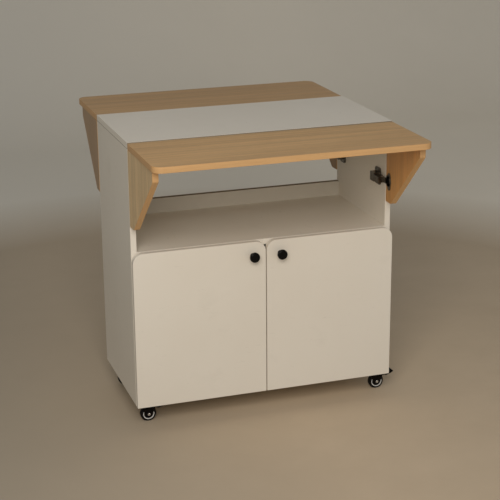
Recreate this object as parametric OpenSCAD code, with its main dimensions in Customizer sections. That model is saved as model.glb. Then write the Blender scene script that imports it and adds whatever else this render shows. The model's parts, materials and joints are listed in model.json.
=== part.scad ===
// Rolling kitchen island: a white cabinet on four swivel casters, with two
// doors below an open shelf, and a drop leaf along the front and the back.
// Each raised leaf rests on two triangular brackets that swing out of line
// with the opening on concealed cup hinges.
//
// Origin on the floor under the middle of the cabinet, +X to the right along
// the front, +Y towards the back, +Z up. The doors are closed, the leaves are
// raised and the brackets are swung out.

/* [Cabinet] */
// Width over the outer faces of the side panels
cabinet_w = 830; // [740:5:1000]
// Depth of the side panels and of the centre top
cabinet_d = 400; // [380:5:520]
// Height of the worktop above the floor
worktop_h = 900; // [870:5:960]
// Thickness of every board
board_t = 18; // [16:1:20]
// Height of the open shelf's upper face above the floor
shelf_h = 567; // [540:1:600]
// Height that the back panel stands above the open shelf
lip_h = 48; // [20:1:60]
// Height of the loose shelf's upper face above the bottom panel
loose_shelf_h = 230; // [200:5:260]
// Distance from the side panels' front edges back to the loose shelf
loose_shelf_setback = 14; // [10:1:40]

/* [Doors] */
// Distance from the open shelf's upper face down to the doors' top edges
door_drop = 0.5; // [0:0.5:8]
// Gap between the two doors
door_gap = 3; // [2:0.5:5]
// Radius of the doors' upper corners
door_corner_r = 32; // [10:1:60]
// Distance from a door's inner edge to its knob
knob_side = 42.5; // [30:0.5:70]
// Distance from a door's top edge down to its knob
knob_down = 42; // [35:1:80]
// Diameter of a knob
knob_d = 31; // [24:1:36]
// Distance that a knob stands out from its door
knob_l = 28; // [20:1:32]
// Distance from a door's top or bottom edge to the nearest hinge
door_hinge_end = 90; // [70:5:110]

/* [Leaves] */
// Depth of a leaf from its hinged edge to its free edge
leaf_d = 298.5; // [275:0.5:340]
// Distance that a raised leaf's upper face lies below the centre top's
leaf_step = 2.5; // [1:0.5:5]
// Gap between a raised leaf and the centre top
leaf_gap = 1.5; // [1:0.25:2]
// Distance from a side panel's outer face in to the end of a leaf
leaf_inset = 0.5; // [0:0.5:6]
// Radius of a leaf's two free corners
leaf_corner_r = 30; // [10:1:60]
// Number of hinges on each leaf
leaf_hinges = 3; // [2:1:3]
// Distance between neighbouring leaf hinges
leaf_hinge_pitch = 100; // [90:5:110]
// Length of a leaf hinge along the seam
leaf_hinge_w = 60; // [45:3:66]
// Distance that a raised leaf lies above the brackets
leaf_rest_gap = 0.6; // [0.6:0.1:1]

/* [Brackets] */
// Length of a bracket's upper edge
bracket_reach = 253; // [220:1:255]
// Height of a bracket
bracket_h = 230; // [210:1:240]
// Height of a bracket's upright nose
bracket_nose_h = 34; // [20:1:50]
// Length of a bracket's lower edge
bracket_foot = 41; // [38:1:60]
// Radius of a bracket's two front corners
bracket_corner_r = 10; // [3:1:12]
// Angle that a bracket stops short of the side panel's plane in the rest pose
bracket_toe = 1.7; // [0:0.1:3]
// Distance from a bracket's upper edge down to its hinge
bracket_hinge_down = 163; // [150:1:170]

/* [Cup hinges] */
// Gap between a board on cup hinges and the side panel's edge behind it
hinge_gap = 3; // [2.5:0.1:4]
// Diameter of the cup that is let into a door or bracket
cup_d = 35; // [33:1:37]
// Height of the flange round the cup
flange_h = 55; // [50:1:60]
// Width of the hinge arm next to the cup
arm_w = 18; // [14:1:20]
// Distance that the hinge arm reaches behind the side panel's edge
arm_reach = 68; // [64:1:72]
// Height of the mounting plate over its two wings
wing_h = 54; // [52:1:60]
// Depth of the mounting plate's wings
wing_w = 44; // [40:1:46]

/* [Casters] */
// Diameter of a caster's wheel
wheel_d = 50; // [46:1:52]
// Width of a caster's tread
wheel_w = 18; // [14:1:20]
// Height from the floor to the cabinet's underside
caster_h = 75; // [73:1:80]
// Distance from a side panel's outer face in to a caster's swivel axis
caster_side = 32; // [30:1:60]
// Distance from the front or back edge in to a caster's swivel axis
caster_end = 50; // [45:1:80]
// Distance that the wheel's axle trails behind the swivel axis
caster_trail = 16; // [14:1:20]

/* [Hidden] */

white = "#f4f2ec";
wood = "#d6ac72";
black = "#1c1c1e";
nickel = "#8d8a84";
steel = "#c3c5c8";
grey = "#b9bbbd";

// Clearances
hair = 0.05;       // round fastener in its own hole, and a pin in its bearing
seat = 0.03;       // under the head of a screw
clear = 0.4;       // between pieces that move past each other
cut = 1;           // how far a cutter runs past the face that it opens

// Cabinet frame
half_w = cabinet_w / 2;
half_d = cabinet_d / 2;
inner_w = cabinet_w - 2 * board_t;
side_top = worktop_h - board_t;
deck_d = cabinet_d - board_t;
lip_top = shelf_h + lip_h;
bottom_top = caster_h + board_t;
loose_top = bottom_top + loose_shelf_h;

// Sides of the cabinet as directions: the sign of x, then the sign of y
front_left = [-1, -1];
front_right = [1, -1];
rear_left = [-1, 1];
rear_right = [1, 1];
corners = [front_left, front_right, rear_left, rear_right];

// Loose shelf and the pins under it
loose_shelf_play = 1;
shelf_pin_r = 2.5;
shelf_pin_in = 10;
shelf_pin_out = 9;
shelf_pin_end = 55;

// Dowels and cam fittings that hold the boards together
dowel_r = 4;
dowel_l = 30;
dowel_in_edge = 20;
dowel_y = 60;
dowel_z = 90;
cam_r = 7.5;
cam_depth = 13;
cam_in = 24;
cam_y = 105;
cam_bolt_r = 3;
cam_bolt_hole_r = 3.6;
cam_bolt_in = 11;
cam_slot_w = 2;
cam_slot_depth = 1.5;

// Wood screws
screw_r = 1.8;
screw_l = 12;
screw_head_r = 3.6;
screw_head_h = 1.4;

// Cup hinge: the pin runs upright through the middle of the board's thickness
pin_r = 1.5;
knuckle_r = 2.6;
knuckle_l = 10;
pin_in = board_t / 2;
pin_out = hinge_gap + board_t / 2;
// Rounding of the board's hinged edge, which lets it turn past the side panel
edge_relief = (pin_in * sqrt(2) - (pin_out - clear)) / (sqrt(2) - 1) + 0.3;
cup_r = cup_d / 2;
cup_wall = 0.9;
cup_mid = edge_relief + 1 + cup_r - pin_in;
cup_depth = board_t / 2 + knuckle_r + clear + cup_wall;
flange_t = 1.5;
flange_w = 24;
flange_back = 4;
flange_screw_z = 22.5;
flange_screw_in = 5;
flange_rim = 2.5;
link_t = 2.4;
link_out = 13;
arm_front = 2;
arm_h = 20;
arm_wall = 1.6;
arm_tail_l = 30;
arm_tail_w = 28;
plate_t = 3;
plate_rail_w = 9;
plate_rail_h = 5;
plate_front = 22;
wing_back = 55;
wing_corner_r = 10;
wing_screw_in = 6.5;
wing_screw_side = 14;
adjuster_r = 3.2;
adjuster_h = 0.8;
adjuster_shank_r = 1.5;
adjuster_backs = [plate_front + 2 * adjuster_r, arm_reach - 4 * adjuster_r];

// Bracket
bracket_top = worktop_h - leaf_step - board_t - leaf_rest_gap;
bracket_hinge_z = bracket_top - bracket_hinge_down;

// Door
door_w = half_w - door_gap / 2;
door_z0 = caster_h;
door_z1 = shelf_h - door_drop;
door_hinge_zs = [door_z0 + door_hinge_end, door_z1 - door_hinge_end];
knob_x = door_gap / 2 + knob_side;
knob_z = door_z1 - knob_down;
knob_base_r = 8;
knob_neck_r = 6.5;
knob_neck_l = 9;
knob_rim_l = 9;
knob_screw_r = 2;
knob_screw_in = 10;
knob_screw_head_r = 4;
knob_screw_head_h = 2.5;

// Leaf and its hinges. The knuckles stand out past the closed brackets
leaf_under = worktop_h - leaf_step - board_t;
leaf_knuckle_r = 2.8;
leaf_pin_r = 1.5;
leaf_plate_t = 2;
leaf_axis_z = leaf_under - leaf_knuckle_r - clear;
leaf_axis_out = hinge_gap + board_t + clear - (leaf_under - leaf_axis_z) + 0.3;
leaf_plate_back = 44;
leaf_plate_screw_back = 26;
leaf_strap_l = 42;
leaf_strap_screw_out = 26;
leaf_hinge_screw_end = 10;
leaf_hinge_screw_x = leaf_hinge_w / 2 - leaf_hinge_screw_end;

// Caster, seen from its swivel axis with the wheel trailing along +x
wheel_r = wheel_d / 2;
stem_r = 4;
insert_r = 6.5;
cap_r = 13;
cap_h = 4;
deck_h = 12.2;
king_head_r = 6;
king_head_h = 2;
fork_hub_r = 13.5;
cheek_t = 2.6;
cheek_gap = 1;
cheek_end_r = 9;
hood_r = 22;
hood_h = 6;
fork_top = caster_h - cap_h - clear;
fork_under = fork_top - deck_h;
axle_r = 3;
axle_head_r = 4.5;
axle_head_h = 2;
ring_out_r = 17.8;
ring_in_r = 15;
ring_depth = 1.5;
ring_proud = 0.3;
hub_recess = 1.2;
wheel_shoulder = 4;
pedal_pin_r = 2;
pedal_pin_x = caster_trail + 6;
pedal_pin_z = wheel_r + 29;
pedal_w = 16;
pedal_pad_w = 28;
pedal_pad_x = caster_trail + 30;

// Direction of a vector
function unit(v) = v / norm(v);

// Points round one corner of an outline, where a and b are its neighbours
function corner_arc(a, p, b, r, n = 8) =
    let (
        to_a = unit(a - p),
        to_b = unit(b - p),
        half = acos(to_a * to_b) / 2,
        mid = p + unit(to_a + to_b) * r / sin(half),
        from = p + to_a * r / tan(half) - mid,
        till = p + to_b * r / tan(half) - mid,
        start = atan2(from.y, from.x),
        turn = (atan2(till.y, till.x) - start + 540) % 360 - 180
    )
    [for (i = [0:n]) mid + r * [cos(start + turn * i / n), sin(start + turn * i / n)]];

// Outline whose corners are rounded, each with its own radius, 0 for sharp
function rounded(pts, radii) =
    let (count = len(pts))
    [for (i = [0:count - 1])
        each radii[i] > 0
            ? corner_arc(pts[(i + count - 1) % count], pts[i], pts[(i + 1) % count], radii[i])
            : [pts[i]]];

// Moves a child from the frame of one upright outer corner of the cabinet,
// where +x runs inwards and +y outwards, to that corner
module at_corner(corner) {
    translate([corner.x * half_w, corner.y * half_d, 0])
        mirror([corner.x > 0 ? 1 : 0, 0, 0])
            mirror([0, corner.y < 0 ? 1 : 0, 0])
                children();
}

// Moves a child from the frame of a hinged board, with its origin on the pin
// and +x along the board, to the pin. Angle 0 is closed, 90 is swung out
module at_pin(corner, angle) {
    at_corner(corner)
        translate([pin_in, pin_out, 0])
            rotate([0, 0, angle])
                children();
}

// Moves a child from the frame of a cabinet edge, with +y outwards, to the
// front edge for side -1 or the back edge for side 1
module at_edge(side) {
    translate([0, side * half_d, 0])
        mirror([0, side < 0 ? 1 : 0, 0])
            children();
}

// Moves a child from a caster's swivel axis at the floor to its place
module at_caster(corner) {
    translate([corner.x * (half_w - caster_side), corner.y * (half_d - caster_end), 0])
        children();
}

// Cylinder along +x
module rod_x(r, length) {
    rotate([0, 90, 0]) cylinder(r = r, h = length, $fn = 32);
}

// Cylinder along +y
module rod_y(r, length) {
    rotate([-90, 0, 0]) cylinder(r = r, h = length, $fn = 32);
}

// Cylinder along y, centred
module axle_rod(r, length) {
    rotate([90, 0, 0]) cylinder(r = r, h = length, center = true, $fn = 48);
}

// Wood screw that points down from the plane that its head bears on
module wood_screw() {
    translate([0, 0, -screw_l]) cylinder(r = screw_r, h = screw_l + 2 * seat, $fn = 24);
    translate([0, 0, seat])
        difference() {
            cylinder(r = screw_head_r, h = screw_head_h, $fn = 32);
            for (turn = [0, 90])
                rotate([0, 0, turn])
                    translate([-screw_head_r / 2, -0.5, screw_head_h / 2])
                        cube([screw_head_r, 1, screw_head_h]);
        }
}

// Pilot hole for a wood screw, cut down from the board's face
module screw_hole() {
    translate([0, 0, -screw_l - clear]) cylinder(r = screw_r + hair, h = screw_l + clear + cut, $fn = 24);
}

// Hole through a thin plate for a wood screw
module plate_hole(depth) {
    translate([0, 0, -cut]) cylinder(r = screw_r + hair, h = depth + 2 * cut, $fn = 24);
}

// Places the screws of one mounting plate, from the corner frame, with +z
// pointing inwards from the side panel's inner face
module at_plate_screws(z) {
    for (up = [-1, 1], side = [-1, 1])
        translate([board_t, -wing_back + side * wing_screw_side, z + up * (wing_h / 2 - wing_screw_in)])
            rotate([0, 90, 0])
                children();
}

// Heights of the hinges at one corner
function hinge_zs(corner) = corner.y < 0 ? concat(door_hinge_zs, [bracket_hinge_z]) : [bracket_hinge_z];

// Side panel
module side_panel(dir) {
    color(white)
        difference() {
            translate([dir > 0 ? half_w - board_t : -half_w, -half_d, caster_h])
                cube([board_t, cabinet_d, side_top - caster_h]);
            for (face = [-1, 1])
                at_corner([dir, face])
                    for (z = hinge_zs([dir, face])) at_plate_screws(z) screw_hole();
            shelf_pin_holes(dir);
            dowel_holes();
            cam_holes();
        }
}

module shelf_pin_places(dir) {
    for (y = [-half_d + loose_shelf_setback + shelf_pin_end, half_d - board_t - shelf_pin_end])
        translate([dir * inner_w / 2, y, loose_top - board_t - shelf_pin_r])
            mirror([dir < 0 ? 1 : 0, 0, 0])
                children();
}

module shelf_pin_holes(dir) {
    shelf_pin_places(dir) translate([-cut, 0, 0]) rod_x(shelf_pin_r + hair, shelf_pin_in + cut + clear);
}

module shelf_pins() {
    color(steel)
        for (dir = [-1, 1])
            shelf_pin_places(dir)
                translate([-shelf_pin_out, 0, 0])
                    rod_x(shelf_pin_r, shelf_pin_out + shelf_pin_in);
}

// Places the level dowels, each at an end of a level board, pointing outwards
module at_level_joints(ys) {
    for (z = [caster_h + board_t / 2, shelf_h - board_t / 2], dir = [-1, 1], y = ys)
        translate([dir * inner_w / 2, y, z])
            mirror([dir < 0 ? 1 : 0, 0, 0])
                children();
}

// Places the dowels at the ends of the back panel, pointing outwards
module at_back_joints() {
    for (z = [caster_h + dowel_z, shelf_h - dowel_z], dir = [-1, 1])
        translate([dir * inner_w / 2, half_d - board_t / 2, z])
            mirror([dir < 0 ? 1 : 0, 0, 0])
                children();
}

// Places the fasteners between the side panels and the centre top, upwards
module at_top_joints(ys) {
    for (dir = [-1, 1], y = ys)
        translate([dir * (half_w - board_t / 2), y, side_top])
            children();
}

module level_dowel(grow) {
    translate([-dowel_in_edge - grow * clear, 0, 0])
        rod_x(dowel_r + grow * hair, dowel_l + 2 * grow * clear);
}

module top_dowel(grow) {
    translate([0, 0, -dowel_in_edge - grow * clear])
        cylinder(r = dowel_r + grow * hair, h = dowel_l + 2 * grow * clear, $fn = 32);
}

module all_dowels(grow) {
    at_level_joints([-dowel_y, dowel_y]) level_dowel(grow);
    at_back_joints() level_dowel(grow);
    at_top_joints([-dowel_y, dowel_y]) top_dowel(grow);
}

module dowel_holes() { all_dowels(1); }

module dowels() { color(wood) all_dowels(0); }

// Cam lock in a level board's underside, and the bolt that it draws
module level_cam(grow) {
    drop = board_t / 2;
    translate([-cam_in, 0, -drop - grow * cut])
        cylinder(r = cam_r + grow * hair, h = cam_depth + grow * (cut + hair), $fn = 48);
}

module level_cam_bolt(grow) {
    translate([-cam_in + cam_r + hair - grow * cut, 0, 0])
        rod_x(cam_bolt_r + grow * hair, cam_in - cam_r - hair + cam_bolt_in + grow * (cut + clear));
}

// Cam lock in a side panel's inner face, and the upright bolt that it draws
module top_cams(grow) {
    for (dir = [-1, 1], y = [-cam_y, cam_y])
        translate([dir * inner_w / 2, y, side_top - cam_in])
            mirror([dir < 0 ? 1 : 0, 0, 0])
                translate([-grow * cut, 0, 0])
                    rod_x(cam_r + grow * hair, cam_depth + grow * (cut + hair));
}

module top_cam_bolts(grow) {
    at_top_joints([-cam_y, cam_y])
        translate([0, 0, -cam_in + cam_r + hair - grow * cut])
            cylinder(
                r = cam_bolt_r + grow * hair,
                h = cam_in - cam_r - hair + cam_bolt_in + grow * (cut + clear),
                $fn = 32
            );
}

module cam_holes() {
    at_level_joints([-cam_y, cam_y]) level_cam(1);
    at_level_joints([-cam_y, cam_y]) level_cam_bolt(1);
    top_cams(1);
    top_cam_bolts(1);
}

module cam_fittings() {
    color(steel) {
        at_level_joints([-cam_y, cam_y]) level_cam(0);
        at_level_joints([-cam_y, cam_y]) level_cam_bolt(0);
        top_cams(0);
        top_cam_bolts(0);
    }
}

// Level board between the side panels, in front of the back panel
module level_board(z_top) {
    translate([-inner_w / 2, -half_d, z_top - board_t]) cube([inner_w, deck_d, board_t]);
}

module centre_top() {
    color(white)
        difference() {
            translate([-half_w, -half_d, side_top]) cube([cabinet_w, cabinet_d, board_t]);
            dowel_holes();
            cam_holes();
            for (side = [-1, 1])
                at_edge(side) at_leaf_plate_screws() screw_hole();
        }
}

module shelf_deck() {
    color(white)
        difference() {
            level_board(shelf_h);
            dowel_holes();
            cam_holes();
        }
}

module bottom_panel() {
    color(white)
        difference() {
            level_board(bottom_top);
            dowel_holes();
            cam_holes();
            for (corner = corners)
                at_caster(corner)
                    translate([0, 0, caster_h - cut])
                        cylinder(r = insert_r + hair, h = board_t + 2 * cut, $fn = 48);
        }
}

module back_panel() {
    color(white)
        difference() {
            translate([-inner_w / 2, half_d - board_t, caster_h])
                cube([inner_w, board_t, lip_top - caster_h]);
            dowel_holes();
        }
}

module loose_shelf() {
    color(white)
        translate([-inner_w / 2 + loose_shelf_play, -half_d + loose_shelf_setback, loose_top - board_t])
            cube([
                inner_w - 2 * loose_shelf_play,
                deck_d - loose_shelf_setback - loose_shelf_play,
                board_t
            ]);
}

// Cutter for the pocket of one cup hinge, from the hinged board's frame
module hinge_pocket() {
    translate([cup_mid, -board_t / 2 - cut, 0]) rod_y(cup_r + hair, cup_depth + cut + hair);
    for (up = [-1, 1])
        translate([cup_mid + flange_screw_in, -board_t / 2, up * flange_screw_z])
            rotate([90, 0, 0])
                screw_hole();
}

// Cutter that rounds the hinged edge of a board over the given heights
module relief_cutter(z0, z1) {
    translate([-board_t / 2, -board_t / 2, z0 - cut])
        difference() {
            translate([-cut, -cut, 0]) cube([edge_relief + cut, edge_relief + cut, z1 - z0 + 2 * cut]);
            translate([edge_relief, edge_relief, -cut])
                cylinder(r = edge_relief, h = z1 - z0 + 4 * cut, $fn = 48);
        }
}

// Cup, flange, pin and two screws, from the hinged board's frame. The cup
// opens towards -y, and the pin crosses it upright
module hinge_cup() {
    face = -board_t / 2;
    inner_r = cup_r - cup_wall;
    color(nickel) {
        difference() {
            union() {
                translate([cup_mid, face, 0]) rod_y(cup_r, cup_depth);
                translate([0, face, 0]) rotate([90, 0, 0]) linear_extrude(flange_t) flange_outline();
            }
            translate([cup_mid, face - flange_t - cut, 0])
                rod_y(inner_r, cup_depth - cup_wall + flange_t + cut);
            for (up = [-1, 1])
                translate([cup_mid + flange_screw_in, face - flange_t, up * flange_screw_z])
                    rotate([-90, 0, 0])
                        plate_hole(flange_t);
        }
        chord = 2 * sqrt(pow(cup_r - cup_wall / 2, 2) - cup_mid * cup_mid);
        cylinder(r = pin_r, h = chord, center = true, $fn = 24);
        for (up = [-1, 1])
            translate([cup_mid + flange_screw_in, face - flange_t, up * flange_screw_z])
                rotate([90, 0, 0])
                    wood_screw();
    }
}

// Outline of the flange: a disc round the cup with a wing above and below
module flange_outline() {
    intersection() {
        union() {
            translate([cup_mid, 0]) circle(r = cup_r + flange_rim, $fn = 64);
            for (up = [-1, 1])
                translate([cup_mid + flange_screw_in, up * (flange_h - flange_w) / 2])
                    circle(r = flange_w / 2, $fn = 32);
            translate([cup_mid + flange_screw_in - flange_w / 2, -(flange_h - flange_w) / 2])
                square([flange_w, flange_h - flange_w]);
        }
        translate([-flange_back, -flange_h]) square([cup_d + 4 * flange_w, 2 * flange_h]);
    }
}

// Arm of one cup hinge, from the corner frame: a knuckle on the pin, a
// gooseneck out of the cup and a channel over the mounting plate
module hinge_arm(z) {
    base = board_t + plate_t;
    neck = pin_in + link_out;
    color(nickel)
        translate([0, 0, z]) {
            difference() {
                union() {
                    translate([pin_in, pin_out, 0])
                        cylinder(r = knuckle_r, h = knuckle_l, center = true, $fn = 32);
                    translate([pin_in, pin_out - link_t / 2, -knuckle_l / 2])
                        cube([link_out + link_t / 2, link_t, knuckle_l]);
                }
                translate([pin_in, pin_out, 0])
                    cylinder(r = pin_r + hair, h = knuckle_l + 2 * cut, center = true, $fn = 32);
            }
            translate([neck - link_t / 2, -arm_front - arm_wall, -arm_w / 2])
                cube([link_t, pin_out + arm_front + arm_wall + link_t / 2, arm_w]);
            difference() {
                union() {
                    translate([base, -arm_reach, -arm_w / 2]) cube([arm_h, arm_reach - arm_front, arm_w]);
                    translate([base, -arm_reach, -arm_tail_w / 2]) cube([arm_h, arm_tail_l, arm_tail_w]);
                }
                translate([base - cut, -arm_reach + arm_wall, -arm_w / 2 + arm_wall])
                    cube([
                        arm_h - arm_wall + cut,
                        arm_reach - arm_front - 2 * arm_wall,
                        arm_w - 2 * arm_wall
                    ]);
                translate([base - cut, -arm_reach + arm_wall, -arm_tail_w / 2 + arm_wall])
                    cube([
                        arm_h - arm_wall + cut,
                        arm_tail_l - 2 * arm_wall,
                        arm_tail_w - 2 * arm_wall
                    ]);
                for (back = adjuster_backs)
                    translate([base + arm_h - arm_wall - cut, -back, 0])
                        rod_x(adjuster_shank_r + hair, arm_wall + 2 * cut);
            }
            for (back = adjuster_backs)
                translate([base + arm_h, -back, 0]) adjuster();
        }
}

// Adjusting screw through an arm, down to just above the plate's rail
module adjuster() {
    translate([plate_rail_h - arm_h + seat, 0, 0]) rod_x(adjuster_shank_r, arm_h - plate_rail_h);
    translate([seat, 0, 0])
        difference() {
            rod_x(adjuster_r, adjuster_h);
            translate([adjuster_h / 2, -adjuster_r, -adjuster_h / 2])
                cube([adjuster_h, 2 * adjuster_r, adjuster_h]);
        }
}

// Mounting plate of one cup hinge with its two screws, from the corner frame
module hinge_plate(z) {
    color(nickel) {
        translate([board_t, 0, z])
            difference() {
                union() {
                    rotate([90, 0, 90]) linear_extrude(plate_t) plate_outline();
                    translate([0, -arm_reach + 2 * arm_wall, -plate_rail_w / 2])
                        cube([
                            plate_t + plate_rail_h,
                            arm_reach - 2 * arm_wall - plate_front,
                            plate_rail_w
                        ]);
                }
                for (up = [-1, 1], side = [-1, 1])
                    translate([0, -wing_back + side * wing_screw_side, up * (wing_h / 2 - wing_screw_in)])
                        rotate([0, 90, 0])
                            plate_hole(plate_t);
            }
        at_plate_screws(z) translate([0, 0, plate_t]) wood_screw();
    }
}

// Outline of the mounting plate in depth and height: a bar towards the cup and
// a broad plate with rounded corners behind it
module plate_outline() {
    flat_w = wing_w - 2 * wing_corner_r;
    flat_h = wing_h - 2 * wing_corner_r;
    translate([-wing_back, -arm_w / 2]) square([wing_back - plate_front, arm_w]);
    translate([-wing_back - flat_w / 2, -wing_h / 2]) square([flat_w, wing_h]);
    translate([-wing_back - wing_w / 2, -flat_h / 2]) square([wing_w, flat_h]);
    for (side = [-1, 1], up = [-1, 1])
        translate([-wing_back + side * flat_w / 2, up * flat_h / 2]) circle(r = wing_corner_r, $fn = 48);
}

// Door board in the hinged board's frame: square below, rounded above
module door_board() {
    height = door_z1 - door_z0;
    translate([-pin_in, board_t / 2, 0])
        rotate([90, 0, 0])
            linear_extrude(board_t) {
                translate([0, door_z0]) square([door_w, height - door_corner_r]);
                translate([door_corner_r, door_z0]) square([door_w - 2 * door_corner_r, height]);
                for (x = [door_corner_r, door_w - door_corner_r])
                    translate([x, door_z1 - door_corner_r]) circle(r = door_corner_r, $fn = 96);
            }
}

module door(dir) {
    color(white)
        at_pin([dir, -1], 0)
            difference() {
                door_board();
                relief_cutter(door_z0, door_z1);
                for (z = door_hinge_zs) translate([0, 0, z]) hinge_pocket();
                translate([door_w - knob_side - pin_in, -board_t / 2 - cut, knob_z])
                    rod_y(knob_screw_r + hair, board_t + 2 * cut);
            }
}

module door_cups(dir) {
    at_pin([dir, -1], 0)
        for (z = door_hinge_zs) translate([0, 0, z]) hinge_cup();
}

// Turned knob, from the point where it meets the door, along +z
module knob_body() {
    color(black)
        difference() {
            rotate_extrude($fn = 96)
                polygon(rounded(
                    [
                        [0, 0],
                        [knob_base_r, 0],
                        [knob_neck_r, knob_neck_l],
                        [knob_d / 2, knob_l - knob_rim_l],
                        [knob_d / 2, knob_l],
                        [0, knob_l]
                    ],
                    [0, 0, 2, 3, 4, 0]
                ));
            translate([0, 0, -cut])
                cylinder(r = knob_screw_r + hair, h = knob_screw_in + cut + clear, $fn = 32);
        }
}

// Moves a child from a knob's foot to its door's face, with +z outwards
module at_knob(dir) {
    translate([dir * knob_x, -half_d - hinge_gap - board_t, knob_z])
        rotate([90, 0, 0])
            children();
}

module knob_screw(dir) {
    color(steel)
        at_knob(dir) {
            translate([0, 0, -board_t]) cylinder(r = knob_screw_r, h = board_t + knob_screw_in, $fn = 32);
            translate([0, 0, -board_t - knob_screw_head_h])
                cylinder(r = knob_screw_head_r, h = knob_screw_head_h, $fn = 32);
        }
}

// Outline of a bracket in length and height, with its hinged edge at 0
function bracket_outline() =
    rounded(
        [
            [0, bracket_top],
            [bracket_reach, bracket_top],
            [bracket_reach, bracket_top - bracket_nose_h],
            [bracket_foot, bracket_top - bracket_h],
            [0, bracket_top - bracket_h]
        ],
        [0, 2, bracket_corner_r, bracket_corner_r, 3]
    );

module bracket(corner) {
    color(wood)
        at_pin(corner, 90 - bracket_toe)
            difference() {
                translate([-pin_in, board_t / 2, 0])
                    rotate([90, 0, 0])
                        linear_extrude(board_t) polygon(bracket_outline());
                relief_cutter(bracket_top - bracket_h, bracket_top);
                translate([0, 0, bracket_hinge_z]) hinge_pocket();
            }
}

module bracket_cup(corner) {
    at_pin(corner, 90 - bracket_toe)
        translate([0, 0, bracket_hinge_z])
            hinge_cup();
}

module door_plates() {
    for (corner = [front_left, front_right], z = door_hinge_zs) at_corner(corner) hinge_plate(z);
}

module door_arms() {
    for (corner = [front_left, front_right], z = door_hinge_zs) at_corner(corner) hinge_arm(z);
}

module bracket_plates() {
    for (corner = corners) at_corner(corner) hinge_plate(bracket_hinge_z);
}

module bracket_arms() {
    for (corner = corners) at_corner(corner) hinge_arm(bracket_hinge_z);
}

// Places the leaf hinges along a cabinet edge
module at_leaf_hinges() {
    for (i = [0:leaf_hinges - 1])
        translate([(i - (leaf_hinges - 1) / 2) * leaf_hinge_pitch, 0, 0])
            children();
}

// Places the screws of the hinges' fixed plates, with the heads facing down
module at_leaf_plate_screws() {
    at_leaf_hinges()
        for (dir = [-1, 1])
            translate([dir * leaf_hinge_screw_x, -leaf_plate_screw_back, side_top])
                rotate([180, 0, 0])
                    children();
}

// Places the screws of the hinges' straps, with the heads facing down
module at_leaf_strap_screws() {
    at_leaf_hinges()
        for (dir = [-1, 1])
            translate([dir * leaf_hinge_screw_x, leaf_axis_out + leaf_strap_screw_out, leaf_under])
                rotate([180, 0, 0])
                    children();
}

module leaf(side) {
    length = cabinet_w - 2 * leaf_inset;
    free = leaf_gap + leaf_d;
    color(wood)
        at_edge(side)
            difference() {
                translate([0, 0, leaf_under])
                    linear_extrude(board_t) {
                        translate([-length / 2, leaf_gap]) square([length, leaf_d - leaf_corner_r]);
                        translate([-length / 2 + leaf_corner_r, leaf_gap])
                            square([length - 2 * leaf_corner_r, leaf_d]);
                        for (dir = [-1, 1])
                            translate([dir * (length / 2 - leaf_corner_r), free - leaf_corner_r])
                                circle(r = leaf_corner_r, $fn = 96);
                    }
                at_leaf_strap_screws() screw_hole();
            }
}

// Fixed half of a leaf hinge: a cranked plate, two knuckles and the pin
module leaf_hinge_fixed() {
    knuckle_w = leaf_hinge_w / 3;
    low = leaf_axis_z - leaf_plate_t / 2;
    difference() {
        union() {
            translate([-leaf_hinge_w / 2, -leaf_plate_back, side_top - leaf_plate_t])
                cube([leaf_hinge_w, leaf_plate_back, leaf_plate_t]);
            translate([-leaf_hinge_w / 2, -leaf_plate_t, low])
                cube([leaf_hinge_w, leaf_plate_t, side_top - low]);
            translate([-leaf_hinge_w / 2, -leaf_plate_t, low])
                cube([leaf_hinge_w, leaf_axis_out + leaf_plate_t, leaf_plate_t]);
            translate([-leaf_hinge_w / 2, leaf_axis_out, leaf_axis_z]) rod_x(leaf_knuckle_r, leaf_hinge_w);
        }
        translate([-knuckle_w / 2 - clear, leaf_axis_out - leaf_knuckle_r - clear, low - leaf_knuckle_r])
            cube([knuckle_w + 2 * clear, 2 * leaf_knuckle_r + 2 * clear, 3 * leaf_knuckle_r]);
        for (dir = [-1, 1])
            translate([dir * leaf_hinge_screw_x, -leaf_plate_screw_back, side_top - leaf_plate_t])
                plate_hole(leaf_plate_t);
    }
    translate([-leaf_hinge_w / 2, leaf_axis_out, leaf_axis_z]) rod_x(leaf_pin_r, leaf_hinge_w);
}

module leaf_hinges_fixed(side) {
    color(nickel)
        at_edge(side) {
            at_leaf_hinges() leaf_hinge_fixed();
            at_leaf_plate_screws() translate([0, 0, leaf_plate_t]) wood_screw();
        }
}

// Moving half of a leaf hinge: a strap under the leaf with one knuckle
module leaf_hinge_strap() {
    knuckle_w = leaf_hinge_w / 3;
    past = leaf_axis_out + leaf_knuckle_r + clear;
    difference() {
        union() {
            translate([-knuckle_w / 2, leaf_axis_out, leaf_axis_z]) rod_x(leaf_knuckle_r, knuckle_w);
            translate([-knuckle_w / 2, leaf_axis_out, leaf_under - leaf_plate_t])
                cube([knuckle_w, leaf_strap_l, leaf_plate_t]);
            translate([-leaf_hinge_w / 2, past, leaf_under - leaf_plate_t])
                cube([leaf_hinge_w, leaf_axis_out + leaf_strap_l - past, leaf_plate_t]);
        }
        translate([-leaf_hinge_w, leaf_axis_out, leaf_axis_z]) rod_x(leaf_pin_r + hair, 2 * leaf_hinge_w);
        for (dir = [-1, 1])
            translate([
                dir * leaf_hinge_screw_x,
                leaf_axis_out + leaf_strap_screw_out,
                leaf_under - leaf_plate_t
            ])
                plate_hole(leaf_plate_t);
    }
}

module leaf_straps(side) {
    color(nickel)
        at_edge(side) {
            at_leaf_hinges() leaf_hinge_strap();
            at_leaf_strap_screws() translate([0, 0, leaf_plate_t]) wood_screw();
        }
}

// Threaded inserts in the bottom panel that take the casters' stems
module caster_inserts() {
    color(steel)
        for (corner = corners)
            at_caster(corner)
                translate([0, 0, caster_h])
                    difference() {
                        cylinder(r = insert_r, h = board_t, $fn = 48);
                        translate([0, 0, -cut])
                            cylinder(r = stem_r + hair, h = board_t + 2 * cut, $fn = 48);
                    }
}

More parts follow.
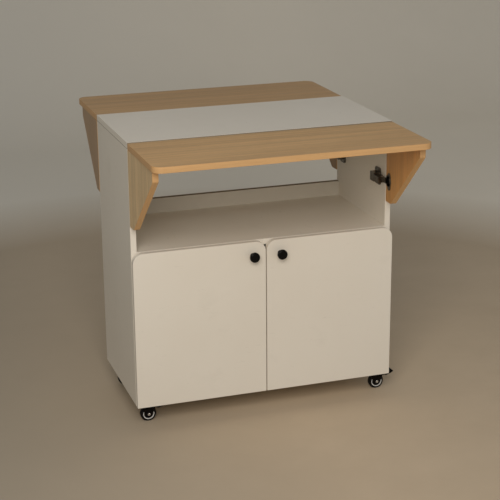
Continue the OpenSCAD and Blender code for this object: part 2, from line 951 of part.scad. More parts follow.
// Stem, bearing cap and king pin of each caster, in one turned piece
module caster_stems() {
    color(steel)
        for (corner = corners)
            at_caster(corner) {
                translate([0, 0, caster_h - cap_h])
                    cylinder(r = stem_r, h = cap_h + board_t - cut, $fn = 48);
                translate([0, 0, caster_h - cap_h]) cylinder(r = cap_r, h = cap_h, $fn = 64);
                translate([0, 0, fork_under - clear - king_head_h])
                    cylinder(r = stem_r, h = caster_h - cap_h - fork_under + clear + king_head_h, $fn = 48);
                translate([0, 0, fork_under - clear - king_head_h])
                    cylinder(r = king_head_r, h = king_head_h, $fn = 48);
            }
}

// Side view of a fork's cheek: broad over the wheel, narrow at the axle
function cheek_outline() =
    rounded(
        [
            [caster_trail - hood_r, fork_under + hood_h],
            [caster_trail - hood_r, wheel_d],
            [caster_trail - cheek_end_r, wheel_r - cheek_end_r],
            [caster_trail + cheek_end_r, wheel_r - cheek_end_r],
            [caster_trail + hood_r, wheel_d],
            [caster_trail + hood_r, fork_under + hood_h]
        ],
        [2, 5, 6.5, 6.5, 5, 3]
    );

module caster_fork(corner, braked) {
    gap = wheel_w + 2 * cheek_gap;
    outer = gap + 2 * cheek_t;
    color(black)
        at_caster(corner)
            difference() {
                union() {
                    translate([0, 0, fork_under]) cylinder(r = fork_hub_r, h = deck_h, $fn = 96);
                    translate([caster_trail - hood_r, -outer / 2, fork_under])
                        cube([hood_r, outer, hood_h]);
                    for (dir = [-1, 1])
                        translate([0, dir > 0 ? outer / 2 : -gap / 2, 0])
                            rotate([90, 0, 0])
                                linear_extrude(cheek_t) polygon(cheek_outline());
                }
                translate([0, 0, fork_under - cut])
                    cylinder(r = stem_r + hair, h = deck_h + 2 * cut, $fn = 48);
                translate([caster_trail, 0, wheel_r]) axle_rod(axle_r + hair, outer + 2 * cut);
                if (braked)
                    translate([pedal_pin_x, 0, pedal_pin_z]) axle_rod(pedal_pin_r + hair, outer + 2 * cut);
            }
}

// Half section of the wheel from its axis out: hub, ring groove and tread
function wheel_section() =
    let (half = wheel_w / 2, floor_y = half - hub_recess, groove_y = half - ring_depth)
    rounded(
        [
            [axle_r + hair, -floor_y],
            [ring_in_r, -floor_y],
            [ring_in_r, -groove_y],
            [ring_out_r, -groove_y],
            [ring_out_r, -half],
            [wheel_r - wheel_shoulder, -half],
            [wheel_r, -half + wheel_shoulder],
            [wheel_r, half - wheel_shoulder],
            [wheel_r - wheel_shoulder, half],
            [ring_out_r, half],
            [ring_out_r, groove_y],
            [ring_in_r, groove_y],
            [ring_in_r, floor_y],
            [axle_r + hair, floor_y]
        ],
        [0, 0, 0, 0, 0, 2, 2, 2, 2, 0, 0, 0, 0, 0]
    );

module caster_wheel(corner) {
    color(black)
        at_caster(corner)
            translate([caster_trail, 0, wheel_r])
                rotate([90, 0, 0])
                    rotate_extrude($fn = 96)
                        polygon(wheel_section());
}

module caster_ring(corner) {
    color(grey)
        at_caster(corner)
            for (dir = [-1, 1])
                translate([caster_trail, dir * (wheel_w / 2 - ring_depth / 2 + ring_proud / 2), wheel_r])
                    difference() {
                        axle_rod(ring_out_r - hair, ring_depth + ring_proud);
                        axle_rod(ring_in_r + hair, ring_depth + ring_proud + 2 * cut);
                    }
}

// Wheel axle with a low head at each end, and the pedal's pin if it has one
module caster_axle(corner, braked) {
    outer = wheel_w + 2 * cheek_gap + 2 * cheek_t;
    color(steel)
        at_caster(corner) {
            translate([caster_trail, 0, wheel_r]) {
                axle_rod(axle_r, outer);
                for (dir = [-1, 1])
                    translate([0, dir * (outer + axle_head_h) / 2, 0]) axle_rod(axle_head_r, axle_head_h);
            }
            if (braked)
                translate([pedal_pin_x, 0, pedal_pin_z]) axle_rod(pedal_pin_r, outer);
        }
}

// Side view of the brake pedal: shoe over the tread and a sloping toe pad
function pedal_outline() =
    rounded(
        [
            [pedal_pin_x - 4, pedal_pin_z - 3],
            [pedal_pin_x - 4, pedal_pin_z + 5],
            [caster_trail + 12, caster_h - 8],
            [caster_trail + 46, caster_h - 10],
            [caster_trail + 58, caster_h - 20],
            [caster_trail + 46, caster_h - 27],
            [caster_trail + 29, caster_h - 32],
            [caster_trail + 20, caster_h - 32],
            [caster_trail + 13, pedal_pin_z - 3]
        ],
        [2, 2, 2, 4, 2, 3, 2, 1, 2]
    );

module brake_pedal(corner) {
    color(black)
        at_caster(corner)
            difference() {
                union() {
                    translate([0, pedal_w / 2, 0])
                        rotate([90, 0, 0])
                            linear_extrude(pedal_w) polygon(pedal_outline());
                    intersection() {
                        translate([0, pedal_pad_w / 2, 0])
                            rotate([90, 0, 0])
                                linear_extrude(pedal_pad_w) polygon(pedal_outline());
                        translate([pedal_pad_x, -pedal_pad_w, 0])
                            cube([wheel_d, 2 * pedal_pad_w, caster_h]);
                    }
                }
                translate([pedal_pin_x, 0, pedal_pin_z]) axle_rod(pedal_pin_r + hair, pedal_w + 2 * cut);
            }
}

centre_top();
side_panel(-1);  // side_left
side_panel(1);  // side_right
shelf_deck();
bottom_panel();
back_panel();
loose_shelf();
shelf_pins();
dowels();
cam_fittings();
door(-1);  // door_left
door(1);  // door_right
at_knob(-1) knob_body();  // knob_left
at_knob(1) knob_body();  // knob_right
knob_screw(-1);  // knob_screw_left
knob_screw(1);  // knob_screw_right
door_plates();
door_arms();
door_cups(-1);  // door_cups_left
door_cups(1);  // door_cups_right
bracket(front_left);  // bracket_front_left
bracket(front_right);  // bracket_front_right
bracket(rear_left);  // bracket_rear_left
bracket(rear_right);  // bracket_rear_right
bracket_plates();
bracket_arms();
bracket_cup(front_left);  // bracket_cup_front_left
bracket_cup(front_right);  // bracket_cup_front_right
bracket_cup(rear_left);  // bracket_cup_rear_left
bracket_cup(rear_right);  // bracket_cup_rear_right
leaf(-1);  // leaf_front
leaf(1);  // leaf_rear
leaf_hinges_fixed(-1);  // leaf_hinges_front
leaf_hinges_fixed(1);  // leaf_hinges_rear
leaf_straps(-1);  // leaf_straps_front
leaf_straps(1);  // leaf_straps_rear
caster_inserts();
caster_stems();
caster_fork(front_left, true);  // caster_fork_front_left
caster_fork(front_right, true);  // caster_fork_front_right
caster_fork(rear_left, false);  // caster_fork_rear_left
caster_fork(rear_right, false);  // caster_fork_rear_right
caster_wheel(front_left);  // caster_wheel_front_left
caster_wheel(front_right);  // caster_wheel_front_right
caster_wheel(rear_left);  // caster_wheel_rear_left
caster_wheel(rear_right);  // caster_wheel_rear_right
caster_ring(front_left);  // caster_ring_front_left
caster_ring(front_right);  // caster_ring_front_right
caster_ring(rear_left);  // caster_ring_rear_left
caster_ring(rear_right);  // caster_ring_rear_right
caster_axle(front_left, true);  // caster_axle_front_left
caster_axle(front_right, true);  // caster_axle_front_right
caster_axle(rear_left, false);  // caster_axle_rear_left
caster_axle(rear_right, false);  // caster_axle_rear_right
brake_pedal(front_left);  // brake_pedal_front_left
brake_pedal(front_right);  // brake_pedal_front_right
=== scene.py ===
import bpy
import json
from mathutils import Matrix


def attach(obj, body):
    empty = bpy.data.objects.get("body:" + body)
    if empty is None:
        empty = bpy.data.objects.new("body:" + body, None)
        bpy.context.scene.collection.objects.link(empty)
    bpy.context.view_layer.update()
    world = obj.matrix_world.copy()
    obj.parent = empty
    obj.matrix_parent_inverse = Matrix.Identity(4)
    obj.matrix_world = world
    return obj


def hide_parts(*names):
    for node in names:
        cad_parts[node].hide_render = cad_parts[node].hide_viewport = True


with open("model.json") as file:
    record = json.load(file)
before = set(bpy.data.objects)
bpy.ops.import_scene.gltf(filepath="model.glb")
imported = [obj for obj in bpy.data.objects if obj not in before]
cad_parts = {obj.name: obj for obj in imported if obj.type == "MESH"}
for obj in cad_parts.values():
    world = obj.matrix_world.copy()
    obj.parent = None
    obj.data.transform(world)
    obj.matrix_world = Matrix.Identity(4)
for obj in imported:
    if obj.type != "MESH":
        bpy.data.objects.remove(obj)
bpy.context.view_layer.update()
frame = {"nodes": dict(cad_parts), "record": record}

import json
import math

import bmesh
import bpy
import numpy as np
from mathutils import Matrix, Vector

scene = bpy.context.scene
NODES = frame["nodes"]
BODY = {n: b for b, ns in frame["record"]["behaviour"]["bodies"].items() for n in ns}

# Axes by number
X, Y, Z = 0, 1, 2

# Most of a noise's values lie between these
NOISE_LOW, NOISE_HIGH = 0.3, 0.7

# Camera, fitted to the photograph's edges: angles in degrees, place in metres, lengths in pixels
CAMERA_AZIMUTH, CAMERA_ELEVATION, CAMERA_ROLL = -18.264, 17.896, -0.485
CAMERA_PLACE = (-1.30152, -4.00643, 1.83015)
FOCAL_PX, PHOTO_PX, SENSOR_MM = 1389.54, 500, 36.0
CLIP_NEAR, CLIP_FAR = 0.1, 60


def place_camera():
    az, el, roll = (math.radians(a) for a in (CAMERA_AZIMUTH, CAMERA_ELEVATION, CAMERA_ROLL))
    back = Vector((math.sin(az) * math.cos(el), -math.cos(az) * math.cos(el), math.sin(el)))
    right = Vector((math.cos(az), math.sin(az), 0.0))
    up = back.cross(right)
    c, s = math.cos(roll), math.sin(roll)
    right, up = c * right + s * up, -s * right + c * up
    data = bpy.data.cameras.new("camera")
    data.sensor_width = SENSOR_MM
    data.lens = FOCAL_PX / PHOTO_PX * SENSOR_MM
    data.clip_start, data.clip_end = CLIP_NEAR, CLIP_FAR
    cam = bpy.data.objects.new("camera", data)
    m = Matrix((right, up, back)).transposed().to_4x4()
    m.translation = Vector(CAMERA_PLACE)
    cam.matrix_world = m
    scene.collection.objects.link(cam)
    scene.camera = cam


place_camera()


# Materials
def lin(r, g, b):
    """sRGB bytes to a linear colour."""

    def channel(v):
        return v / 12.92 if v <= 0.04045 else ((v + 0.055) / 1.055) ** 2.4

    return (channel(r / 255), channel(g / 255), channel(b / 255), 1.0)


class Maker:
    """A node material, built a step at a time."""

    # Sockets of the Mix node that belong to colours
    MIX_FACTOR, MIX_A, MIX_B, MIX_RESULT = 0, 6, 7, 2

    def __init__(self, name, **shader):
        self.mat = bpy.data.materials.new(name)
        self.mat.use_nodes = True
        self.t = self.mat.node_tree
        self.bsdf = self.t.nodes["Principled BSDF"]
        for k, v in shader.items():
            self.bsdf.inputs[k.replace("_", " ")].default_value = v

    def new(self, kind, **props):
        n = self.t.nodes.new(kind)
        for k, v in props.items():
            setattr(n, k, v)
        return n

    def set(self, socket, value):
        if isinstance(value, bpy.types.NodeSocket):
            self.t.links.new(value, socket)
        else:
            socket.default_value = value

    def coord(self, scale=(1, 1, 1), uv=None, offset=(0, 0, 0)):
        """The object's own coordinates in metres, or a UV map's."""
        if uv:
            source = self.new("ShaderNodeUVMap", uv_map=uv).outputs["UV"]
        else:
            source = self.new("ShaderNodeTexCoord").outputs["Object"]
        m = self.new("ShaderNodeMapping")
        self.set(m.inputs["Vector"], source)
        m.inputs["Scale"].default_value = scale
        m.inputs["Location"].default_value = offset
        return m.outputs["Vector"]

    def split(self, vector):
        """The three coordinates of a vector."""
        n = self.new("ShaderNodeSeparateXYZ")
        self.set(n.inputs[0], vector)
        return n.outputs

    def noise(self, vector, scale=1.0, detail=3.0, rough=0.5, distort=0.0):
        n = self.new("ShaderNodeTexNoise")
        self.set(n.inputs["Vector"], vector)
        n.inputs["Scale"].default_value = scale
        n.inputs["Detail"].default_value = detail
        n.inputs["Roughness"].default_value = rough
        n.inputs["Distortion"].default_value = distort
        return n.outputs["Fac"]

    def range(self, value, low, high, to_low=0.0, to_high=1.0):
        n = self.new("ShaderNodeMapRange")
        self.set(n.inputs["Value"], value)
        n.inputs["From Min"].default_value = low
        n.inputs["From Max"].default_value = high
        n.inputs["To Min"].default_value = to_low
        n.inputs["To Max"].default_value = to_high
        return n.outputs["Result"]

    def math(self, op, a, b=0.0):
        n = self.new("ShaderNodeMath", operation=op)
        self.set(n.inputs[0], a)
        self.set(n.inputs[1], b)
        return n.outputs[0]

    def ramp(self, value, stops):
        n = self.new("ShaderNodeValToRGB")
        self.set(n.inputs["Fac"], value)
        el = n.color_ramp.elements
        while len(el) < len(stops):
            el.new(0.5)
        for e, (p, c) in zip(el, stops):
            e.position, e.color = p, c
        return n.outputs["Color"]

    def spread(self, noise, low, high):
        """A noise stretched from low to high."""
        return self.range(noise, NOISE_LOW, NOISE_HIGH, low, high)

    def two_tone(self, noise, dark, light):
        """Two near colours, blended by a noise."""
        return self.ramp(noise, [(NOISE_LOW, dark), (NOISE_HIGH, light)])

    def mix(self, fac, a, b, blend="MIX"):
        n = self.new("ShaderNodeMix", data_type="RGBA", blend_type=blend)
        self.set(n.inputs[self.MIX_FACTOR], fac)
        self.set(n.inputs[self.MIX_A], a)
        self.set(n.inputs[self.MIX_B], b)
        return n.outputs[self.MIX_RESULT]

    def colour(self, socket):
        self.set(self.bsdf.inputs["Base Color"], socket)

    def rough(self, socket):
        self.set(self.bsdf.inputs["Roughness"], socket)

    def bump(self, height, strength, distance):
        n = self.new("ShaderNodeBump")
        n.inputs["Strength"].default_value = strength
        n.inputs["Distance"].default_value = distance
        self.set(n.inputs["Height"], height)
        self.set(self.bsdf.inputs["Normal"], n.outputs["Normal"])


def white_film(name, light, dark, texture=0.05):
    """White foil with a fine pearl, faint handling marks and a few hairline scuffs."""
    smear_colour, smear_depth = lin(176, 166, 148), 0.10
    scuff_colour, scuff_depth, scuff_rough = lin(170, 162, 148), 0.10, 0.12
    m = Maker(name, Specular_IOR_Level=0.42)
    here = m.coord()
    broad = m.noise(here, scale=2.2, detail=4, rough=0.55)
    smears = m.noise(here, scale=9, detail=5, rough=0.6)
    marks = m.noise(m.coord((34, 34, 210)), detail=2, distort=1.2)
    scuff = m.range(marks, low=0.705, high=0.72)
    smear = m.range(smears, low=0.58, high=0.82, to_high=smear_depth)
    colour = m.two_tone(broad, dark, light)
    colour = m.mix(smear, colour, smear_colour, "MULTIPLY")
    colour = m.mix(m.math("MULTIPLY", scuff, scuff_depth), colour, scuff_colour)
    m.colour(colour)
    grain = m.noise(here, scale=1100, detail=2, rough=0.6)
    m.rough(m.math("ADD", m.spread(smears, 0.38, 0.52), m.math("MULTIPLY", scuff, scuff_rough)))
    m.bump(grain, strength=texture, distance=0.0002)
    return m.mat


def wood_film(name, along, stops, pore, uv=None, seed=0.0, streak=1.0, half=0.0):
    """Printed straight grain along one axis.

    stops are the film's tones, uv a map to use for the place, seed an offset, and half the half
    width of a band that is worn along its edges.
    """
    wander_part, band_part, line_part, fibre_part = 0.20, 0.26, 0.34, 0.24
    pore_depth = 0.40
    fibre_height = 0.5
    wear_from, wear_to = 0.0016, 0.0005
    m = Maker(name, Specular_IOR_Level=0.4)

    def axes(fine, long):
        """Coordinates scaled by fine across the grain and by long along it."""
        s = [fine] * 3
        s[along] = long
        return m.coord(tuple(s), uv=uv, offset=(seed, seed * 1.7, seed * 0.6))

    wander = m.noise(axes(5, 0.9))
    bands = m.noise(axes(46, 0.8), distort=0.3)
    lines = m.noise(axes(190, 1.7), rough=0.6, distort=0.15)
    fibres = m.noise(axes(950, 13), detail=2, rough=0.6)
    pores = m.noise(axes(760, 24), detail=1)
    tone = m.math("ADD", m.math("MULTIPLY", bands, band_part), m.math("MULTIPLY", lines, line_part * streak))
    tone = m.math("ADD", tone, m.math("MULTIPLY", wander, wander_part))
    tone = m.math("ADD", tone, m.math("MULTIPLY", fibres, fibre_part))
    colour = m.ramp(m.range(tone, low=0.40, high=0.64), stops)
    dash = m.range(pores, low=0.61, high=0.70)
    colour = m.mix(m.math("MULTIPLY", dash, pore_depth), colour, pore)
    if half:
        far = m.math("ABSOLUTE", m.split(m.coord(uv=uv))[Y])
        edge = m.range(far, half - wear_from, half - wear_to)
        patchy = m.range(wander, low=0.35, high=0.6, to_low=0.15, to_high=0.55)
        worn = m.math("MULTIPLY", edge, patchy)
        colour = m.mix(worn, colour, pore)
    m.colour(colour)
    m.rough(m.spread(lines, 0.46, 0.58))
    height = m.math("SUBTRACT", m.math("MULTIPLY", fibres, fibre_height), dash)
    m.bump(height, strength=0.16, distance=0.00015)
    return m.mat


def shades(r, g, b, spread):
    """Four near tones of one film, from its dark lines to its pale ones."""
    steps = ((0.0, -1.0), (0.4, -0.2), (0.7, 0.3), (1.0, 0.9))
    return [(place, lin(*(c * (1 + step * spread) for c in (r, g, b)))) for place, step in steps]


def particle_board():
    """The bare chips of a board's inside."""
    cell_part, chip_part = 0.5, 0.7
    dark, middle, light = lin(104, 95, 77), lin(138, 126, 104), lin(168, 154, 130)
    m = Maker("raw_particle_board", Specular_IOR_Level=0.2)
    here = m.coord()
    cells = m.new("ShaderNodeTexVoronoi", feature="F1")
    m.set(cells.inputs["Vector"], here)
    cells.inputs["Scale"].default_value = 520
    chips = m.noise(here, scale=700, detail=4, rough=0.7)
    cell_shade = m.math("MULTIPLY", cells.outputs["Distance"], cell_part)
    shade = m.math("ADD", cell_shade, m.math("MULTIPLY", chips, chip_part))
    m.colour(m.ramp(shade, [(0.25, dark), (0.55, middle), (0.85, light)]))
    m.rough(m.spread(chips, 0.8, 0.95))
    m.bump(shade, strength=0.5, distance=0.0004)
    return m.mat


def metal(name, light, dark, low, high):
    """Plated metal; low and high are its roughness."""
    m = Maker(name, Metallic=1.0)
    here = m.coord()
    cloud = m.noise(here, scale=60, detail=4, rough=0.6)
    m.colour(m.two_tone(cloud, dark, light))
    fine = m.noise(here, scale=900, rough=0.6)
    m.rough(m.spread(fine, low, high))
    m.bump(fine, strength=0.06, distance=0.0001)
    return m.mat


def plastic(name, light, dark, low, high, grain=1400, texture=0.15, level=0.5):
    """Moulded plastic; low and high are its roughness, grain its texture's fineness."""
    m = Maker(name, Specular_IOR_Level=level)
    here = m.coord()
    cloud = m.noise(here, scale=45)
    m.colour(m.two_tone(cloud, dark, light))
    fine = m.noise(here, scale=grain, detail=2, rough=0.6)
    m.rough(m.spread(fine, low, high))
    m.bump(fine, strength=texture, distance=0.0001)
    return m.mat


# Half of the boards' thickness, in metres
HALF_BOARD = 0.009

FILM = shades(204, 166, 117, 0.12)
# painted shade: a darker copy of the oak film for the rear leaf
SHADED_REAR_FILM = shades(193, 156, 111, 0.11)
BAND = shades(215, 171, 117, 0.06)
# painted light: a paler, cooler copy of the oak film for the left bracket, as if lit by cool side light
COOL_LIT_LEFT_FILM = shades(217, 189, 145, 0.11)
# painted light: a darker, more orange copy of the oak film for the right bracket, as if lit by warm bounced
# light
WARM_BOUNCE_RIGHT_FILM = shades(206, 154, 93, 0.09)
# painted shade: a darker, greyer copy of the oak film for the rear brackets
SHADED_BACK_FILM = shades(174, 145, 113, 0.08)
PORE = lin(166, 127, 86)
BAND_PORE = lin(184, 132, 80)

MAT = {
    "white": white_film("white_melamine", lin(231, 225, 212), lin(227, 220, 206)),
    "white_edge": white_film("white_edge_band", lin(234, 227, 214), lin(228, 221, 207), 0.02),
    # painted shade: a darker copy of the white film for the back panel
    "white_back_shaded": white_film("white_back_board_painted_shade", lin(214, 207, 192), lin(209, 202, 186)),
    # painted shade: a dark copy of the white film for the shaded gap along joints and seams
    "joint_shade": white_film("painted_joint_shade", lin(142, 133, 117), lin(126, 118, 103), 0.02),
    "wood_x": wood_film("oak_film_lengthwise", X, FILM, PORE),
    "wood_rear_shaded": wood_film("oak_film_rear_leaf_painted_shade", X, SHADED_REAR_FILM, PORE, seed=5.3),
    "wood_left_cool_lit": wood_film("oak_film_left_bracket_painted_cool_light", Z, COOL_LIT_LEFT_FILM, PORE, seed=3.1),
    "wood_right_warm_bounce": wood_film("oak_film_right_bracket_painted_warm_bounce", Z, WARM_BOUNCE_RIGHT_FILM, PORE, seed=4.4),
    "wood_back_shaded": wood_film("oak_film_rear_bracket_painted_shade", Z, SHADED_BACK_FILM, PORE, seed=6.4),
    "wood_edge": wood_film(
        "oak_edge_band", X, BAND, BAND_PORE, uv="grain", seed=1.3, streak=0.7, half=HALF_BOARD
    ),
    "raw": particle_board(),
    "nickel": metal("dark_nickel", (0.24, 0.215, 0.175, 1), (0.09, 0.075, 0.06, 1), 0.22, 0.36),
    "steel": metal("zinc_steel", (0.62, 0.62, 0.60, 1), (0.50, 0.50, 0.49, 1), 0.28, 0.42),
    "chrome": metal("bright_axle", (0.82, 0.86, 0.92, 1), (0.72, 0.76, 0.82, 1), 0.16, 0.26),
    "black": plastic("black_plastic", lin(10, 9, 9), lin(6, 6, 6), 0.24, 0.36, level=0.14),
    "tyre": plastic("black_tread", lin(17, 16, 16), lin(10, 10, 10), 0.5, 0.66, 2400, 0.3, level=0.2),
    "ring": plastic("grey_ring", lin(226, 226, 222), lin(210, 210, 207), 0.3, 0.4),
    "dowel": wood_film("beech_dowel", X, FILM, PORE, seed=7.7),
}


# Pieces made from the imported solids: lengths in metres, angles in degrees
WELD = 2e-6
FLAT_ANGLE = 0.4
HULL_SLACK = 2e-5
BOARD_EASE, BOARD_SEGMENTS = 0.0008, 3
BOARD_CORNER = 35
FITTING_CORNER, FITTING_FOLD = 40, 140
BOARD_SHARP, FITTING_SHARP = 50, 45
NORMAL_WEIGHT = 100


def clean(node):
    """The node's mesh, welded, with its flat faces whole."""
    bm = bmesh.new()
    bm.from_mesh(NODES[node].data)
    bmesh.ops.remove_doubles(bm, verts=bm.verts, dist=WELD)
    bmesh.ops.dissolve_limit(bm, angle_limit=math.radians(FLAT_ANGLE), verts=bm.verts, edges=bm.edges)
    bm.normal_update()
    return bm


def outer_faces(bm):
    """The faces that the whole mesh lies behind."""
    pts = np.array([v.co for v in bm.verts])
    found = set()
    for f in bm.faces:
        n = np.array(f.normal)
        if (pts @ n).max() <= float(np.dot(n, f.verts[0].co)) + HULL_SLACK:
            found.add(f)
    return found


def round_edges(bm, edges, offset, segments):
    bmesh.ops.bevel(
        bm, geom=edges, offset=offset, offset_type="OFFSET", segments=segments,
        profile=0.5, affect="EDGES", clamp_overlap=True,
    )
    bm.normal_update()


def finish_piece(bm, name, body, mats, sharp):
    """An object from the mesh, with its shading fixed, on its body."""
    me = bpy.data.meshes.new(name)
    bm.to_mesh(me)
    bm.free()
    for m in mats:
        me.materials.append(m)
    me.polygons.foreach_set("use_smooth", [True] * len(me.polygons))
    me.set_sharp_from_angle(angle=math.radians(sharp))
    ob = bpy.data.objects.new(name, me)
    scene.collection.objects.link(ob)
    w = ob.modifiers.new("normals", "WEIGHTED_NORMAL")
    w.keep_sharp = True
    w.weight = NORMAL_WEIGHT
    graph = bpy.context.evaluated_depsgraph_get()
    shaded = ob.evaluated_get(graph)
    baked = bpy.data.meshes.new_from_object(shaded, preserve_all_data_layers=True, depsgraph=graph)
    ob.modifiers.clear()
    ob.data = baked
    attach(ob, body)
    return ob


def perimeter(points):
    """A function from a point to its place along the points' convex outline, and that outline's length."""
    pts = sorted(set((round(float(x), 6), round(float(y), 6)) for x, y in points))

    def turn(a, b, c):
        return (b[0] - a[0]) * (c[1] - a[1]) - (b[1] - a[1]) * (c[0] - a[0])

    def half(seq):
        out = []
        for p in seq:
            while len(out) > 1 and turn(out[-2], out[-1], p) <= 0:
                out.pop()
            out.append(p)
        return out

    hull = half(pts)[:-1] + half(pts[::-1])[:-1]
    a = np.array(hull)
    b = np.roll(a, -1, 0)
    d = b - a
    ln = np.linalg.norm(d, axis=1)
    start = np.concatenate([[0], np.cumsum(ln)[:-1]])

    def place(p):
        t = np.clip(((p - a) * d).sum(1) / (ln * ln), 0, 1)
        gap = np.linalg.norm(a + d * t[:, None] - p, axis=1)
        i = int(gap.argmin())
        return start[i] + ln[i] * t[i]

    return place, float(ln.sum())


# A board's materials by number: its film, its edge band, bare board, and painted shade along joints and
# seams
FACE, EDGE, RAW, JOINT_SHADE = 0, 1, 2, 3
# How far from the joint's height the painted shade reaches
JOINT_SHADE_REACH = 0.0012
# Cosines that tell which way a face looks: along an axis, to the front or back, or aslant
ALONG, TO_SEAM, SLANT_FROM, SLANT_TO = 0.95, 0.9, 0.15, 0.98
# A board whose axis rises less than this stands upright
UPRIGHT = 0.7


def face_kind(f, axis, outer, raw_up, joint_shade, seam_shade):
    """Which of the board's materials a face takes."""
    # painted shade on the front and back edges along a seam
    if seam_shade and abs(f.normal.y) > TO_SEAM:
        return JOINT_SHADE
    # painted shade on the slanted rounding along the joint
    if joint_shade and abs(f.calc_center_median().z - joint_shade) < JOINT_SHADE_REACH:
        if SLANT_FROM < abs(f.normal.z) < SLANT_TO:
            return JOINT_SHADE
    if f not in outer or (raw_up and f.normal.z > ALONG):
        return RAW
    return FACE if abs(f.normal.dot(axis)) > ALONG else EDGE


def board(node, film, edge, raw_up=False, joint_shade=None, seam_shade=False):
    """A board with its film on both faces and a rounded band round its edge.

    raw_up leaves its upper edge bare, the joint height is where its edges get painted shade, and the
    seam flag paints shade on its front and back edges.
    """
    bm = clean(node)
    axis = max(bm.faces, key=lambda f: f.calc_area()).normal.copy()
    outer = outer_faces(bm)
    rim = [
        e
        for e in bm.edges
        if len(e.link_faces) == 2
        and e.link_faces[0] in outer
        and e.link_faces[1] in outer
        and e.calc_face_angle(0) > math.radians(BOARD_CORNER)
    ]
    side = Vector((0, 0, 1)) if abs(axis.z) < UPRIGHT else Vector((0, 1, 0))
    u = side.cross(axis).normalized()
    v = axis.cross(u)
    place, around = perimeter([(p.co.dot(u), p.co.dot(v)) for p in bm.verts])
    across = [p.co.dot(axis) for p in bm.verts]
    mid = (min(across) + max(across)) / 2
    round_edges(bm, rim, BOARD_EASE, BOARD_SEGMENTS)
    outer = outer_faces(bm)
    uv = bm.loops.layers.uv.new("grain")
    for f in bm.faces:
        f.material_index = face_kind(f, axis, outer, raw_up, joint_shade, seam_shade)
        seen = []
        for loop in f.loops:
            co = loop.vert.co
            if f.material_index == EDGE:
                s = place(np.array((co.dot(u), co.dot(v))))
                if seen:
                    s += around * round((seen[0] - s) / around)
                seen.append(s)
                loop[uv].uv = (s, co.dot(axis) - mid)
            else:
                loop[uv].uv = (co.dot(u), co.dot(v))
    mats = [film, edge, MAT["raw"], MAT["joint_shade"]]
    piece = finish_piece(bm, "board_" + node, BODY[node], mats, BOARD_SHARP)
    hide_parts(node)


def eased(node, mat, ease, segments=2):
    """A fitting with its sharp edges rounded."""
    bm = clean(node)
    low, high = math.radians(FITTING_CORNER), math.radians(FITTING_FOLD)
    edges = [e for e in bm.edges if len(e.link_faces) == 2 and low < e.calc_face_angle(0) < high]
    round_edges(bm, edges, ease, segments)
    piece = finish_piece(bm, "fitting_" + node, BODY[node], [mat], FITTING_SHARP)
    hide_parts(node)


# Painted shade along the joint under the centre top, and on its front and back edges at the seam
top_joint = min(v.co.z for v in NODES["centre_top"].data.vertices)
board("centre_top", MAT["white"], MAT["white_edge"], joint_shade=top_joint, seam_shade=True)
for node in ("side_left", "side_right"):
    board(node, MAT["white"], MAT["white_edge"], joint_shade=top_joint)
for node in ("shelf_deck", "bottom_panel", "loose_shelf", "door_left", "door_right"):
    board(node, MAT["white"], MAT["white_edge"])
board("back_panel", MAT["white_back_shaded"], MAT["white_edge"], raw_up=True)
for node, film in (
    ("leaf_front", "wood_x"),
    ("leaf_rear", "wood_rear_shaded"),
    ("bracket_front_left", "wood_left_cool_lit"),
    ("bracket_front_right", "wood_right_warm_bounce"),
    ("bracket_rear_left", "wood_back_shaded"),
    ("bracket_rear_right", "wood_back_shaded"),
):
    board(node, MAT[film], MAT["wood_edge"])

# Nodes that keep their own mesh, and their materials
KEPT = {
    "dowels": "dowel",
    "cam_fittings": "steel",
    "shelf_pins": "steel",
    "knob_screw_left": "steel",
    "knob_screw_right": "steel",
    "caster_inserts": "steel",
    "caster_stems": "chrome",
}

# How the names of the rounded fittings start, with their material, slot, rounding and its segments
HINGE_PARTS = (
    "door_plates", "door_arms", "door_cups",
    "bracket_plates", "bracket_arms", "bracket_cup",
    "leaf_hinges", "leaf_straps",
)
ROUNDED = (
    (HINGE_PARTS, "nickel", "hinge_nickel", 0.0004, 2),
    ("knob_", "black", "black_plastic", 0.0005, 3),
    (("caster_fork", "brake_pedal"), "black", "black_plastic", 0.0006, 3),
    ("caster_wheel", "tyre", "wheel_rubber", 0.0004, 2),
    ("caster_ring", "ring", "grey_ring", 0.0002, 2),
    ("caster_axle", "chrome", "bright_steel", 0.0004, 2),
)
for node, ob in NODES.items():
    if node in KEPT:
        ob.data.materials.clear()
        ob.data.materials.append(MAT[KEPT[node]])
        continue
    for starts, mat, slot, ease, segments in ROUNDED:
        if node.startswith(starts):
            eased(node, MAT[mat], ease, segments)
            break


# Floor and backdrop in one sweep, in metres: half its width, its ends, the bend and the top
SWEEP_HALF, SWEEP_FRONT, SWEEP_BACK, SWEEP_RADIUS, SWEEP_TOP = 9.0, -8.0, 3.4, 1.6, 6.0
SWEEP_STEPS = 25
# Where the floor's colour passes into the wall's, from the middle
WALL_FROM, WALL_TO = 1.8, 2.5


def pale_ground():
    """Plain floor near the object and a paler wall beyond it, both with painted shade that darkens them to
    the left.
    """
    m = Maker("pale_floor_painted_shade", Specular_IOR_Level=0.2)
    here = m.coord()
    cloud = m.noise(here, scale=0.9, detail=5, rough=0.6)
    spots = m.noise(here, scale=6.5, detail=6, rough=0.65)
    spot = m.range(spots, low=0.35, high=0.75, to_high=0.22)
    x = m.split(here)[X]
    floor = m.two_tone(cloud, lin(196, 178, 152), lin(206, 188, 162))
    floor = m.mix(spot, floor, lin(184, 166, 140))
    # painted shade: the floor darker to the left
    floor = m.mix(m.range(x, low=0.1, high=-1.2), floor, lin(162, 153, 137))
    wall = m.two_tone(cloud, lin(241, 233, 216), lin(246, 238, 221))
    # painted shade: the wall darker to the left
    wall = m.mix(m.range(x, low=1.4, high=-0.4), wall, lin(227, 222, 209))
    reach = m.new("ShaderNodeVectorMath", operation="LENGTH")
    m.set(reach.inputs[0], here)
    m.colour(m.mix(m.range(reach.outputs["Value"], WALL_FROM, WALL_TO), floor, wall))
    m.rough(m.spread(cloud, 0.7, 0.85))
    return m.mat


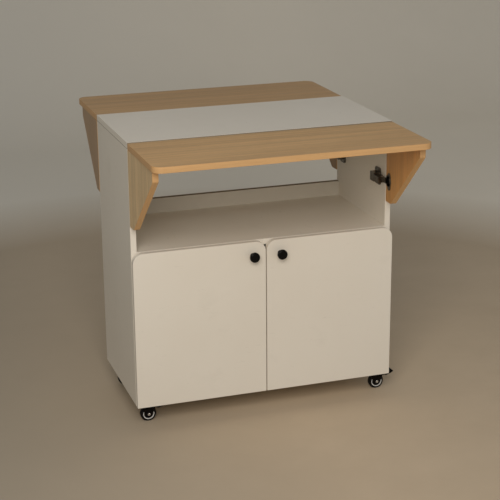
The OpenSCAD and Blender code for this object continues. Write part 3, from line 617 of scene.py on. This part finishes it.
def sweep():
    bm = bmesh.new()
    back, radius = SWEEP_BACK, SWEEP_RADIUS
    bend = np.linspace(0, math.pi / 2, SWEEP_STEPS)
    line = [(SWEEP_FRONT, 0.0)]
    line += [(back + radius * math.sin(a), radius - radius * math.cos(a)) for a in bend]
    line += [(back + radius, SWEEP_TOP)]
    rows = [[bm.verts.new((x, y, z)) for y, z in line] for x in (-SWEEP_HALF, SWEEP_HALF)]
    for i in range(len(line) - 1):
        bm.faces.new((rows[0][i], rows[1][i], rows[1][i + 1], rows[0][i + 1]))
    bm.normal_update()
    me = bpy.data.meshes.new("sweep")
    bm.to_mesh(me)
    bm.free()
    me.polygons.foreach_set("use_smooth", [True] * len(me.polygons))
    me.materials.append(pale_ground())
    ob = bpy.data.objects.new("sweep", me)
    scene.collection.objects.link(ob)


sweep()

# Light: a large soft source in front on the left, and a sky that is dimmer on that side
KEY_PLACE, KEY_AIM = (-1.40, -3.55, 2.55), (0, 0, 0.5)
KEY_SIZE, KEY_WATTS, KEY_COLOUR = 2.0, 99, (1.0, 0.94, 0.875)
SKY_COLOUR = (0.97, 0.99, 1.03, 1)
SKY_LEFT, SKY_RIGHT = -0.8, 0.6
SKY_LEFT_STRENGTH, SKY_RIGHT_STRENGTH = 0.13, 0.34


def light_key():
    data = bpy.data.lights.new("key", "AREA")
    data.shape = "SQUARE"
    data.size = KEY_SIZE
    data.energy = KEY_WATTS
    data.color = KEY_COLOUR
    ob = bpy.data.objects.new("key", data)
    ob.location = KEY_PLACE
    ob.rotation_euler = (Vector(KEY_AIM) - Vector(KEY_PLACE)).to_track_quat("-Z", "Y").to_euler()
    scene.collection.objects.link(ob)
    ob.visible_camera = False


def light_sky():
    world = bpy.data.worlds.new("sky")
    world.use_nodes = True
    tree = world.node_tree
    bg = tree.nodes["Background"]
    bg.inputs["Color"].default_value = SKY_COLOUR
    sky = tree.nodes.new("ShaderNodeTexCoord")
    part = tree.nodes.new("ShaderNodeSeparateXYZ")
    level = tree.nodes.new("ShaderNodeMapRange")
    level.inputs["From Min"].default_value = SKY_LEFT
    level.inputs["From Max"].default_value = SKY_RIGHT
    level.inputs["To Min"].default_value = SKY_LEFT_STRENGTH
    level.inputs["To Max"].default_value = SKY_RIGHT_STRENGTH
    tree.links.new(sky.outputs["Generated"], part.inputs[0])
    tree.links.new(part.outputs["X"], level.inputs["Value"])
    tree.links.new(level.outputs["Result"], bg.inputs["Strength"])
    scene.world = world


light_key()
light_sky()

scene.view_settings.view_transform = "Standard"
